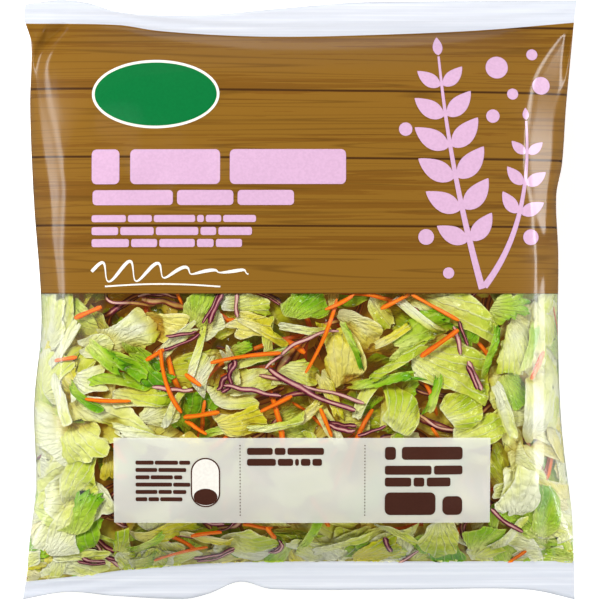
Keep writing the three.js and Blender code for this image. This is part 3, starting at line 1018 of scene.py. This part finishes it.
stripsOnTop = [
    # kind, middle, length, width, degrees, how much greener
    ("iceberg", 258, 360, 32, 5, 12, 0.1), ("heart", 262, 330, 24, 5, -24, 0.0),
    ("iceberg", 196, 352, 26, 4, 64, 0.0), ("iceberg", 232, 366, 22, 5, -60, -0.2),
    ("green", 352, 344, 24, 4, -52, 0.1), ("iceberg", 398, 362, 36, 6, 14, 0.2),
    ("green", 386, 380, 34, 5, 22, 0.0), ("heart", 330, 398, 26, 6, -70, 0.0),
    ("iceberg", 366, 398, 24, 6, 60, -0.1), ("iceberg", 300, 330, 26, 4, -12, -0.1),
    ("iceberg", 420, 316, 30, 5, -36, 0.1), ("green", 436, 396, 24, 4, 78, 0.1),
    ("heart", 396, 336, 20, 4, 30, 0.0), ("iceberg", 176, 340, 26, 6, 40, -0.1),
    ("green", 82, 400, 22, 5, -30, 0.1), ("iceberg", 172, 408, 22, 4, 76, -0.2),
    ("iceberg", 276, 428, 26, 5, 18, 0.0), ("heart", 312, 412, 20, 5, 48, 0.1),
    ("green", 494, 352, 24, 4, 56, 0.1), ("iceberg", 508, 410, 30, 6, -68, -0.1),
    ("iceberg", 150, 440, 40, 6, -12, -0.2), ("iceberg", 340, 548, 30, 6, 24, 0.1),
    ("green", 312, 540, 26, 5, 62, 0.0), ("iceberg", 402, 540, 24, 5, -40, 0.2),
    ("heart", 210, 544, 28, 6, -20, 0.1), ("iceberg", 512, 540, 28, 6, 70, 0.0),
    ("green", 148, 548, 22, 5, 40, 0.1), ("iceberg", 62, 346, 28, 6, 60, -0.2),
    ("iceberg", 58, 402, 30, 6, -70, -0.2), ("green", 536, 348, 28, 5, 80, 0.0),
]
leavesOnTop = [
    ("green", 100, 356, 28, 8, -40, 0.0), ("green", 122, 364, 30, 7, -24, 0.15),
    ("green", 141, 373, 24, 10, -42, 0.3), ("green", 116, 380, 32, 7, -12, 0.05),
    ("green", 138, 360, 18, 8, -50, 0.1), ("iceberg", 91, 346, 17, 13, 10, -0.1),
    ("iceberg", 122, 338, 27, 19, 24, -0.28), ("heart", 160, 325, 23, 15, -22, -0.12),
    ("iceberg", 84, 382, 20, 14, 4, -0.15), ("iceberg", 140, 398, 30, 10, -8, 0.1),
    ("iceberg", 108, 414, 46, 15, -27, -0.1), ("iceberg", 157, 418, 21, 14, 10, -0.3),
    ("green", 304, 306, 24, 18, 30, 0.0), ("heart", 252, 325, 24, 13, -8, -0.1),
    ("iceberg", 248, 304, 26, 9, 0, 0.05), ("green", 196, 308, 20, 14, 70, -0.15),
    ("iceberg", 209, 327, 16, 12, 40, -0.25), ("green", 240, 347, 12, 7, 30, 0.15),
    ("iceberg", 300, 373, 22, 13, -22, -0.05), ("heart", 241, 424, 27, 17, 4, 0.1),
    ("heart", 343, 360, 30, 17, 80, -0.15), ("iceberg", 243, 381, 24, 15, 25, 0.0),
    ("iceberg", 202, 372, 20, 10, 62, 0.05), ("iceberg", 236, 400, 22, 12, 12, -0.05),
    ("green", 417, 336, 34, 16, 28, -0.12), ("iceberg", 455, 371, 48, 26, -14, 0.18),
    ("iceberg", 462, 306, 44, 20, -22, 0.1), ("green", 510, 308, 24, 17, 10, -0.1),
    ("green", 470, 338, 14, 12, 70, 0.2), ("iceberg", 405, 413, 24, 20, 70, 0.12),
    ("iceberg", 462, 412, 24, 21, 15, 0.3), ("iceberg", 521, 352, 32, 20, -75, 0.0),
    ("iceberg", 376, 372, 30, 12, 18, 0.25), ("heart", 362, 330, 22, 12, -30, -0.1),
    ("green", 335, 376, 12, 9, 60, 0.1), ("iceberg", 50, 318, 26, 20, 70, -0.15),
    ("iceberg", 47, 375, 24, 16, 60, 0.05), ("green", 55, 415, 20, 13, -20, -0.1),
    ("iceberg", 78, 446, 34, 22, -30, 0.1), ("iceberg", 545, 405, 30, 18, 70, -0.2),
    ("iceberg", 480, 435, 30, 16, 10, 0.25), ("green", 520, 390, 20, 14, -40, 0.1),
    ("iceberg", 120, 546, 20, 10, 86, 0.3), ("heart", 168, 538, 28, 12, 6, 0.2),
    ("iceberg", 243, 547, 26, 17, 20, 0.1), ("heart", 378, 556, 28, 14, 28, 0.35),
    ("iceberg", 440, 548, 30, 20, -75, 0.25), ("green", 485, 545, 26, 18, 60, 0.0),
    ("green", 82, 520, 24, 14, 60, -0.1), ("iceberg", 56, 536, 30, 18, 80, -0.25),
    ("iceberg", 526, 496, 34, 20, 70, -0.2), ("green", 552, 520, 30, 14, 80, -0.05),
    ("iceberg", 72, 484, 34, 22, 60, 0.1), ("iceberg", 92, 500, 24, 16, -60, -0.2),
    ("heart", 180, 470, 34, 22, 10, -0.1), ("iceberg", 300, 480, 40, 26, 20, -0.1),
    ("green", 360, 510, 28, 16, 40, 0.0), ("iceberg", 420, 480, 36, 24, -10, 0.1),
]


onTop = {
    "pitch": 1.2,
    "carrotWide": (1.5, 2.2),
    "strandPitch": 2,
    "strandWide": (1.5, 2.7),
    "strandLong": (0.75, 1),
    "bundle": 0.8,
    "turnSpread": 0.08,
    "curlSpread": 0.25,
}


def layOnFront(px, py):
    # X and Y where a pixel of the photograph lies
    return abovePlanPoint(*onBag(px, py))


for px, py, long, degrees, curl in carrotsOnTop:
    wide = rng.uniform(*onTop["carrotWide"])
    addShred("carrot", *layOnFront(px, py), long, wide, math.radians(degrees), curl)
for px, py, long, wide, degrees, curl, wobble in cabbageOnTop:
    turn, strands = math.radians(degrees), max(1, round(wide / onTop["strandPitch"]))
    X, Y = layOnFront(px, py)
    for strand in range(strands):
        beside = onTop["bundle"] * wide * ((strand + 0.5) / strands - 0.5)
        addShred("cabbage", X - beside * math.sin(turn), Y + beside * math.cos(turn),
                 long * rng.uniform(*onTop["strandLong"]), rng.uniform(*onTop["strandWide"]),
                 turn + rng.normal(0, onTop["turnSpread"]), curl + rng.normal(0, onTop["curlSpread"]), wobble)
for kind, px, py, long, short, degrees, shift in stripsOnTop + leavesOnTop:
    addLeaf(kind, *layOnFront(px, py), long, short, math.radians(degrees), shift, onTop["pitch"])


def scatterLeaf(X, Y, form):
    # a leaf of random kind, size and direction
    kind = rng.choice(["iceberg", "heart", "green"], p=form["kinds"])
    long = rng.uniform(*form["long"])
    addLeaf(kind, X, Y, long, long * rng.uniform(*form["slender"]), rng.uniform(0, fullTurn),
            rng.normal(form["shift"], 0.14), form["pitch"], rng.uniform(0, form["rest"]))


# Leaves along the shoulders, round both sides, and along the bottom weld. Those on the shoulders and round
# the sides are paler, a painted wash of light along the bag's sides.
edgeForm = {"kinds": [0.6, 0.15, 0.25], "slender": (0.35, 0.8), "pitch": 1.8, "rest": 0.6}
edgeLeaves = [
    {"count": 64, "X": (94, 122), "Y": (0, 1), "long": (18, 38), "shift": -0.14},
    {"count": 76, "X": (112, 160), "Y": (0, 1), "long": (14, 34), "shift": -0.12},
    {"count": 44, "X": (0, 112), "Y": (-0.02, 0.06), "long": (12, 30), "shift": 0.0},
]
for band in edgeLeaves:
    for _ in range(band["count"]):
        X, Y = rng.choice([-1, 1]) * rng.uniform(*band["X"]), rng.uniform(*band["Y"]) * tableRows
        scatterLeaf(X, Y, {**edgeForm, **band})
print("pieces against the film laid")

# The rest of the heap goes where the fewest pieces lie, in layers, each coarser than the one outside it
deepForm = {"kinds": [0.45, 0.23, 0.32], "slender": (0.16, 0.85), "shift": 0, "rest": 1.2}
layers = [
    {"leaves": 165, "long": (9, 32), "pitch": 1.7, "shreds": 0.9, "fine": True},
    {"leaves": 180, "long": (20, 42), "pitch": 2.4, "shreds": 0.5, "fine": True},
    {"leaves": 140, "long": (22, 42), "pitch": 3.4, "shreds": 0.2, "fine": False},
]


def barest():
    # a random one of the spots with the fewest pieces over them
    spots = np.argwhere(laid[3:] == laid[3:].min())
    i, j = spots[rng.integers(len(spots))]
    return j - loopHalf + rng.uniform(-3, 3), i + 3 + rng.uniform(-3, 3)


def scatterShreds(X, Y, fine):
    # one carrot shred, or a few of cabbage side by side
    turn = rng.uniform(0, np.pi)
    if rng.uniform() < 0.5:
        addShred("carrot", X, Y, rng.uniform(12, 42), rng.uniform(1.4, 2.2), turn, rng.normal(0, 0.5),
                 0.05, fine)
        return
    long, curl, wobble = rng.uniform(12, 44), rng.normal(0, 0.9), rng.uniform(0, 0.4)
    for _ in range(rng.integers(1, 4)):
        addShred("cabbage", X + rng.normal(0, 1.5), Y + rng.normal(0, 1.5), long, rng.uniform(1.3, 3.2),
                 turn + rng.normal(0, 0.1), curl + rng.normal(0, 0.2), wobble, fine)


for layer in layers:
    for _ in range(layer["leaves"]):
        scatterLeaf(*barest(), {**deepForm, **layer})
        if rng.uniform() < layer["shreds"]:
            scatterShreds(*barest(), layer["fine"])
    print(f"layer laid, deepest {taken.max():.1f} mm, mean {taken.mean():.1f} mm")

# The heap is squeezed evenly to what fits between the film's two sides: (1 + (pile / most)^4)^(-1/4)
coreRoom = 2.5  # kept free for the core, in millimetres
pile = windowed(windowed(taken, 4, np.max), 4, np.mean) + coreRoom
pile = np.concatenate([pile, pile[:, :1]], 1)
squeezeTable = (1 + (pile / deepestTable) ** 4) ** -0.25
heapPieces = {
    "iceberg": ("pale_lettuce_leaves", icebergLeaf, "lettuce"),
    "heart": ("yellow_lettuce_leaves", heartLeaf, "lettuce"),
    "green": ("green_lettuce_leaves", greenLeaf, "lettuce"),
    "carrot": ("carrot_shreds", carrotShred, "carrot"),
    "cabbage": ("red_cabbage_shreds", cabbageShred, "red_cabbage"),
}
for kind, (name, material, slotName) in heapPieces.items():
    store = {key: np.concatenate(parts) for key, parts in heap[kind].items()}
    points, light = inBag(store["X"], store["Y"], store["depth"])
    makePiece(name, points, store["quads"], [material],
              facts={"leafPlace": store["leafPlace"], "tone": store["tone"], "light": light}, crisp=34)


core = {"half": 122, "columns": 90, "rows": 50, "under": 1.2, "lump": 0.8, "lumpX": 4.1, "lumpY": 3.7}


def makeCore():
    # The inside of the heap: one closed lump just under all that has been laid, its colour leaf in painted
    # shade
    across = np.linspace(-core["half"], core["half"], core["columns"])
    X, Y = np.meshgrid(across, np.linspace(0.2, tableRows - 2, core["rows"]))
    behind = np.where(X < 0, -loopHalf - X, loopHalf - X)
    around, up = np.stack([X, behind]), np.stack([Y, Y])
    lump = core["lump"] * np.sin(around / core["lumpX"]) * np.sin(up / core["lumpY"])
    points, light = inBag(around, up, underneath(around, up, 5) + core["under"] + lump)
    makePiece("heap_core", points, slabQuads(*X.shape), [heapShade], facts={"light": light})


makeCore()
print("heap made")

# The print. Each patch of ink is a closed slab a tenth of a millimetre thick that lies on the film
inkLift = {"low": 0.08, "high": 0.18}
inkPitch = 1.1


def inkPatch(x, y, above=0.0):
    # a grid of plan points, which may run either way round
    alongX, alongY = x[0, -1] - x[0, 0], y[0, -1] - y[0, 0]
    upX, upY = x[-1, 0] - x[0, 0], y[-1, 0] - y[0, 0]
    if alongX * upY < alongY * upX:
        x, y = x[:, ::-1], y[:, ::-1]
    z = frontHeight(x, y) + above
    sides = [np.stack([x, y, z + inkLift[side]], -1).reshape(-1, 3) for side in ("high", "low")]
    return np.concatenate(sides), slabQuads(*x.shape)


def roundedBar(left, right, low, high, radius, above=0.0):
    # a bar with round corners: each row is drawn in by the corner's circle
    rows = max(int((high - low) / inkPitch), 4) + 4
    columns = max(int((right - left) / inkPitch), 2) + 2
    y = lerp(low, high, (crowded(rows, 1) + 1) / 2)[:, None]
    into = np.clip(np.abs(y - (low + high) / 2) - ((high - low) / 2 - radius), 0, radius)
    inset = radius - np.sqrt(radius**2 - into**2 * 0.998)
    x = lerp(left + inset, right - inset, np.linspace(0, 1, columns)[None])
    return inkPatch(x, y + 0 * x, above)


def disc(x0, y0, width, height, above=0.0):
    # a square grid drawn into an ellipse
    count = int(max(width, height) / inkPitch) + 5
    a, b = intoDisc(*np.meshgrid(crowded(count, 0.5), crowded(count, 0.5)))
    return inkPatch(x0 + a * width / 2, y0 + b * height / 2, above)


def ribbon(x, y, width, above=0.0):
    # a strip along a path, width being given at each point
    dx, dy = np.gradient(x), np.gradient(y)
    size = np.hypot(dx, dy)
    across = np.linspace(-0.5, 0.5, max(int(np.max(width) / inkPitch), 1) + 2)[:, None]
    return inkPatch(x - across * width * dy / size, y + across * width * dx / size, above)


def makeInk(name, patches, material):
    # patches of one ink joined into one piece
    starts = np.cumsum([0] + [len(points) for points, _ in patches[:-1]])
    points = np.concatenate([points for points, _ in patches])
    quads = np.concatenate([quads + start for start, (_, quads) in zip(starts, patches)])
    makePiece(name, points, quads, [material], crisp=30)


def barRows(rows):
    # Lines of plain bars. A row has its left, right, bottom and top in the photograph's pixels, each bar's
    # share of the line, and the radius of the corners.
    bars = []
    for left, right, bottom, top, words, radius in rows:
        (x0, x1), (y0, y1) = onBag([left, right], [bottom, top])
        cuts = np.cumsum([0] + words) / sum(words)
        gap = 0.28 * (y1 - y0) if len(words) > 1 else 0
        corner = min(radius, (y1 - y0) * 0.45)
        for a, b in zip(cuts, cuts[1:]):
            bars.append(roundedBar(lerp(x0, x1, a) + gap * (a > 0), lerp(x0, x1, b), y0, y1, corner))
    return bars


frondForm = {
    "stem": (3.0, 1.0),
    "least": 0.55,
    "swell": 0.75,
    "leafWidth": 0.5,
    "tipWidth": 0.15,
    "spread": 1.05,
    "curl": 0.3,
}


def frond(start, bend, end, pairs, size, bare):
    # A fern frond: a stem on a parabola from start by bend to end, its first share bare, with smooth
    # leaflets in pairs that get smaller towards the tip, and one at the tip
    s = np.linspace(0, 1, 60)
    (x0, y0), (x1, y1), (x2, y2) = start, bend, end
    x = (1 - s) ** 2 * x0 + 2 * s * (1 - s) * x1 + s**2 * x2
    y = (1 - s) ** 2 * y0 + 2 * s * (1 - s) * y1 + s**2 * y2
    patches = [ribbon(x, y, lerp(*frondForm["stem"], s))]
    for k in range(pairs + 1):
        at = bare + (1 - bare) * k / pairs
        px, py = np.interp(at, s, x), np.interp(at, s, y)
        heading = np.arctan2(np.interp(at, s, np.gradient(y)), np.interp(at, s, np.gradient(x)))
        long = size * (frondForm["least"] + frondForm["swell"] * np.sin(np.pi * min(at * 0.9 + 0.08, 1)))
        t = np.linspace(0, 1, int(long / inkPitch) + 8)
        leaf = np.sin(np.pi * t**0.8) ** 0.85 * long * frondForm["leafWidth"] + frondForm["tipWidth"]
        for side in (-1, 1) if k < pairs else (0,):
            way = heading + side * (frondForm["spread"] - frondForm["curl"] * t)
            step = long / (len(t) - 1)
            patches.append(ribbon(px + np.cumsum(np.cos(way)) * step, py + np.cumsum(np.sin(way)) * step,
                                  leaf, 0.02))
    return patches


# Rows, ends and the tag's middle are in the photograph's pixels, and all else is in millimetres. A frond has
# its start, bend and end, how many pairs of leaflets, their size and the stem's bare share. A dot has its
# place and width.
pinkRows = [
    (91, 119, 184, 149, [1], 2.2), (130, 346, 184, 149, [5, 7], 2.2), (92, 294, 205, 190, [4, 3, 3], 1.6),
    (91, 256, 222, 215, [4, 3, 5, 1, 2, 4], 0.9), (91, 252, 235, 227, [3, 4, 5, 2, 4], 0.9),
    (91, 242, 247, 239, [4, 3, 4, 2, 3], 0.9),
]
fronds = [((81, 5), (66, 58), (62, 109), 6, 14, 0.2), ((82, 6), (104, 34), (101, 80), 3, 9, 0.5)]
dots = [
    (88, 104, 10), (104, 110, 5), (47, 76, 6), (56, 28, 7), (95, 92, 5),
    (108, 96, 8), (103, 28, 7), (66, 12, 5), (86, 82, 6),
]
tag = {"middle": (155, 93), "border": (57, 31), "field": (54.6, 28.6), "fieldAbove": 0.08}
flourish = {"ends": (91, 252), "rows": (286, 257), "turns": 36, "sway": 1.6, "height": 4.6, "width": 1.0}


def makePrint():
    # a blank oval tag, pink bars, fronds and dots, and a white flourish
    tagX, tagY = onBag(*tag["middle"])
    makeInk("tag_border", [disc(tagX, tagY, *tag["border"])], whiteInk)
    makeInk("tag_field", [disc(tagX, tagY, *tag["field"], tag["fieldAbove"])], greenInk)
    pink = barRows(pinkRows)
    for form in fronds:
        pink += frond(*form)
    pink += [disc(x, y, size, size) for x, y, size in dots]
    makeInk("pink_print", pink, pinkInk)
    # a wavy ribbon that swells along its run, over a nearly straight one
    s = np.linspace(0, 1, 150)
    turn = flourish["turns"] * s
    (x0, x1), (y0, y1) = onBag(flourish["ends"], flourish["rows"])
    swell = 0.55 + 0.45 * np.sin(5 * s + 0.6)
    waveX = lerp(x0, x1, s) + flourish["sway"] * np.sin(turn)
    waveY = (y0 + y1) / 2 + flourish["height"] * swell * np.sin(turn)
    wave = ribbon(waveX, waveY, flourish["width"] + 0.5 * np.sin(turn + 1))
    line = ribbon(lerp(x0 + 6, x1 - 14, s), y0 - 0.2 + 1.1 * np.sin(3.2 * s), 0.7 + 0 * s)
    makeInk("white_print", [wave, line], whiteInk)


labelLines = [[3, 4, 2], [3, 4], [3, 5, 2], [4, 2], [3, 2, 2], [1, 1, 2]]
labelRows = [(135, 190 - 4 * (k % 3), 465 + 7.4 * k, 461 + 7.4 * k, line, 0.6)
             for k, line in enumerate(labelLines)]
labelRows += [
    (247, 324, 455, 448, [4, 2, 6], 0.9), (247, 322, 466, 459, [5, 3, 1, 2, 2], 0.9),
    (385, 396, 460, 447, [1], 1.4), (402, 463, 460, 447, [1], 1.4),
    (385, 463, 475, 466, [6, 4], 0.9), (385, 451, 487, 478, [2, 1, 2], 0.9),
    (385, 436, 516, 493, [1], 2.4), (443, 463, 516, 497, [1], 2.4),
]
labelRows += [(px - 0.5, px + 0.5, py + 1.3, py, [1], 0.2)
              for px in (240, 365) for py in np.arange(445, 517, 3.2)]
label = {"ends": (113, 491), "rows": (438, 524), "corner": 0.3, "inkAbove": 0.12}
badge = {"left": -48.6, "right": -35.5, "low": -92.3, "high": -70.2, "radius": 6.4, "rim": 0.6}
badgeField = {"radius": 5.9, "above": 0.08}
badgeFoot = {"up": 4.6, "size": (10.6, 7.4), "above": 0.17}


def makeLabel():
    # a pale panel with dark bars, dotted dividers and an empty badge
    (x0, x1), (y1, y0) = onBag(label["ends"], label["rows"])
    makeInk("label_panel", [roundedBar(x0, x1, y0, y1, label["corner"])], veil)
    above = label["inkAbove"]
    left, right, low, high, radius, rim = badge.values()
    ink = barRows(labelRows) + [roundedBar(left, right, low, high, radius)]
    makeInk("label_ink", [(points + (0, 0, above), quads) for points, quads in ink], brownInk)
    field = roundedBar(left + rim, right - rim, low + rim, high - rim, badgeField["radius"],
                       above + badgeField["above"])
    makeInk("badge_field", [field], whiteInk)
    foot = disc((left + right) / 2, low + badgeFoot["up"], *badgeFoot["size"], above + badgeFoot["above"])
    makeInk("badge_foot", [foot], brownInk)


makePrint()
makeLabel()
print("print made")


def paperSurface(add):
    # White paper on a light table, so that the bag's shadow is lost in it
    coords = add("TexCoord").outputs["Object"]
    tooth = add("TexNoise", {"Scale": 1 / (3 * mm), "Detail": 2, "Vector": coords})
    ramp = fillRamp(add("ValToRGB", {"Fac": tooth}), {0.3: "#FAFAFA", 0.7: "#FCFCFC"})
    return add("BsdfPrincipled", {
        "Base Color": ramp, "Roughness": 0.9, "Emission Color": (1, 1, 1, 1), "Emission Strength": 0.5})


def makeFloor():
    # a square of so many metres each way, just under the bag
    reach = 4.0
    mesh = bpy.data.meshes.new("floor")
    corners = [(-reach, -reach, 0), (reach, -reach, 0), (reach, reach, 0), (-reach, reach, 0)]
    mesh.from_pydata(corners, [], [(0, 1, 2, 3)])
    mesh.materials.append(makeMaterial("white_paper_lit_from_below", paperSurface))
    floor = bpy.data.objects.new("floor", mesh)
    floor.location.z = -0.0002
    floor.visible_glossy = False
    bpy.context.scene.collection.objects.link(floor)


# Soft boxes, in metres and watts: a key and a fill that model the leaves and aren't mirrored, a small glint
# that is seen only on the wet salad, and a low strip to each side that the film mirrors as a band. Aim is
# how high over the origin a lamp faces.
lamps = {
    "key": {"at": (-0.7, 0.7, 1.5), "aim": 0.03, "size": (0.5, 0.5), "watts": 33, "visible_glossy": False},
    "fill": {"at": (1.0, -0.9, 1.4), "aim": 0.03, "size": (1.2, 1.2), "watts": 16, "visible_glossy": False},
    "glint": {"at": (0.3, 0.45, 1.5), "aim": 0.03, "size": (0.25, 0.25), "watts": 8,
              "visible_diffuse": False},
    "leftStrip": {"at": (-1.1, 0.25, 0.25), "aim": 0.05, "size": (1.3, 0.22), "watts": 5.5},
    "rightStrip": {"at": (1.1, 0.15, 0.25), "aim": 0.05, "size": (1.3, 0.22), "watts": 8.5},
}
worldStrength = 0.08


def addSoftBox(name, at, aim, size, watts, **seen):
    # an area light that faces a point over the origin
    data = bpy.data.lights.new(name, "AREA")
    data.shape = "RECTANGLE"
    data.size, data.size_y, data.energy = *size, watts
    lamp = bpy.data.objects.new(name, data)
    lamp.location = at
    way = np.array((0, 0, aim)) - np.array(at)
    lamp.rotation_euler = Vector(way).to_track_quat("-Z", "Y").to_euler()
    for key, value in seen.items():
        setattr(lamp, key, value)
    bpy.context.scene.collection.objects.link(lamp)


makeFloor()
for name, form in lamps.items():
    addSoftBox(name, **form)
saladPieces = bpy.data.collections.new("salad")
for name, _, _ in heapPieces.values():
    saladPieces.objects.link(bpy.data.objects[name])
bpy.data.objects["glint"].light_linking.receiver_collection = saladPieces
world = bpy.data.worlds.new("studio")
world.use_nodes = True
background = world.node_tree.nodes["Background"]
background.inputs["Color"].default_value = (1, 1, 1, 1)
background.inputs["Strength"].default_value = worldStrength
scene = bpy.context.scene
scene.world = world
scene.view_settings.view_transform = "Standard"

# Straight above the bag, with the photograph's 270 mm across the frame at the height of the seals
view = {"across": 0.27, "lens": 400, "sensor": 36, "seals": 0.019}
lensView = bpy.data.cameras.new("camera")
lensView.lens, lensView.sensor_width = view["lens"], view["sensor"]
camera = bpy.data.objects.new("camera", lensView)
camera.location = (0, 0, view["seals"] + view["across"] * view["lens"] / view["sensor"])
lensView.clip_end = 10
scene.collection.objects.link(camera)
scene.camera = camera
print("stage set")

bpy.context.view_layer.update()
